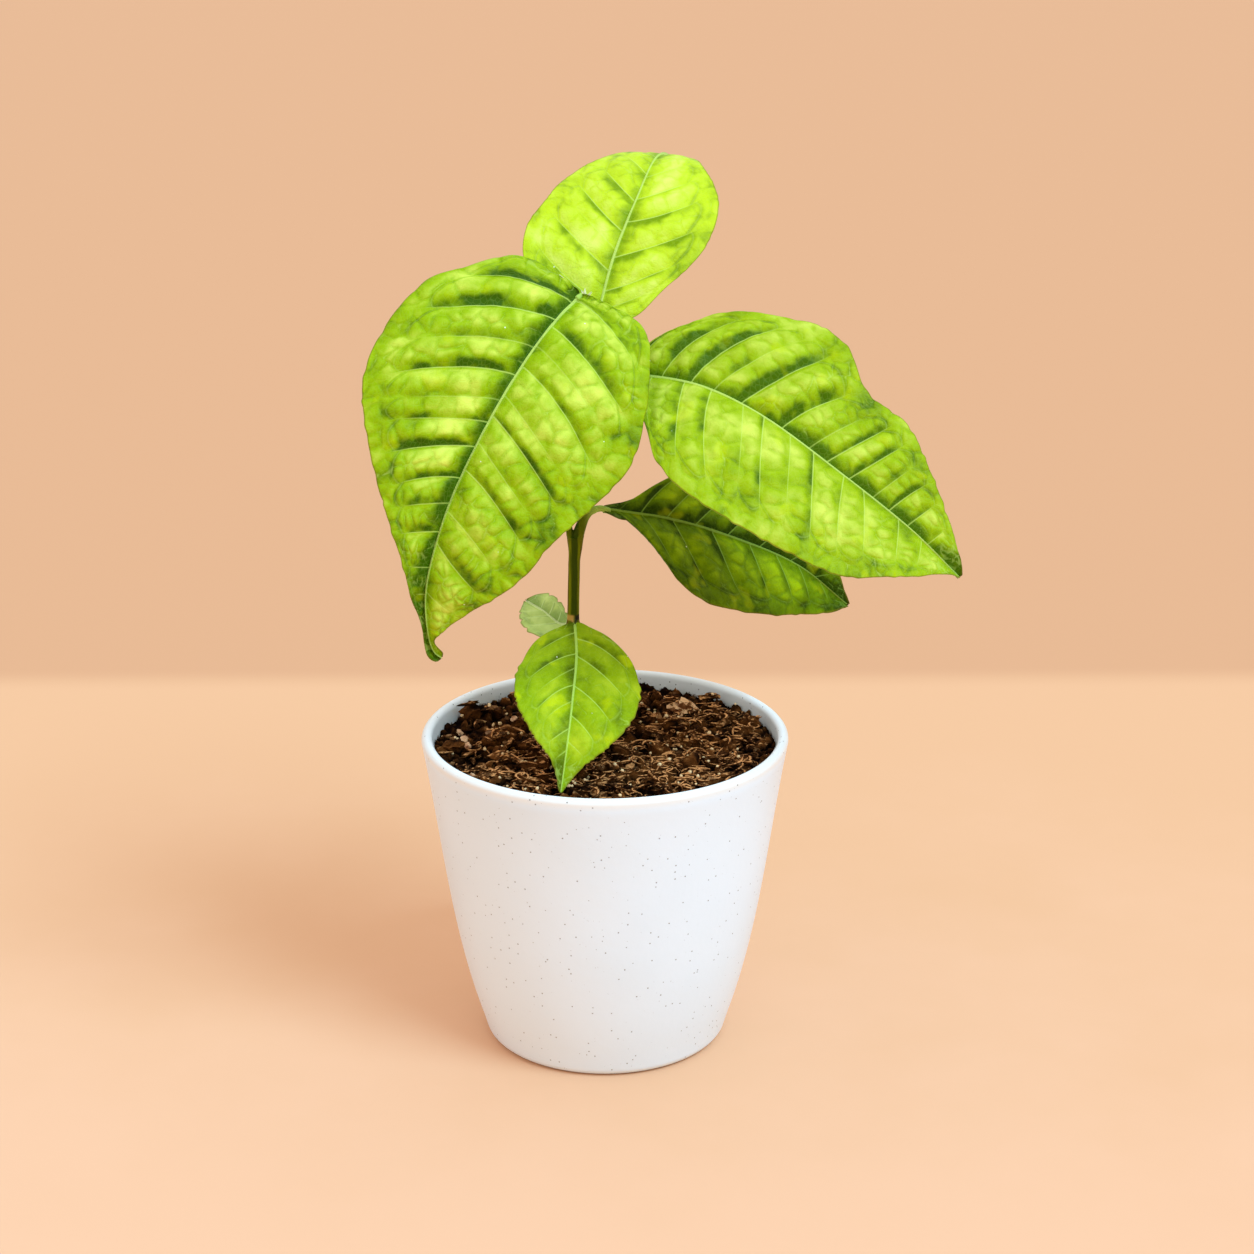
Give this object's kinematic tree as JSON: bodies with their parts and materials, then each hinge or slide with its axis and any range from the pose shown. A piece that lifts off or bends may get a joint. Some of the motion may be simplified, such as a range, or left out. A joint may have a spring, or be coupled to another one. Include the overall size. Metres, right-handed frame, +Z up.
{
  "type": "potted bael seedling",
  "caption": "Young bael plant in a tapered round pot of soil: an upright green stem forks and carries broad pointed single leaves.",
  "frame": {"origin": "centre of the pot's flat underside, where it stands on the table", "axes": "+Z up along the pot's axis; -Y is the front, where the largest leaf and the small front leaf face; +X is to the right in the front view"},
  "size_m": [0.1503, 0.1182, 0.2385],
  "materials": {
    "pot": "white moulded wall with fine speckles, satin",
    "soil": "dark crumbly coir and bark mix with white grit",
    "stem": "smooth green young bark with brown and yellow-green streaks",
    "bud": "pale cream scale leaves",
    "leaf_young": "bright yellow-green puckered blade with sunken veins, slight gloss",
    "leaf_old": "mid green blade with pale veins and yellow mottling",
    "leaf_pale": "pale dusty green blade"
  },
  "bodies": {
    "root": {"pot": "pot", "soil": "soil", "stem": "stem", "leader": "stem", "side_shoot": "stem", "bud": "bud", "leaf_left": "leaf_young", "leaf_top": "leaf_young", "leaf_right": "leaf_young", "leaf_lower_right": "leaf_old", "leaf_front": "leaf_old", "leaf_back": "leaf_pale"}
  },
  "joints": []
}
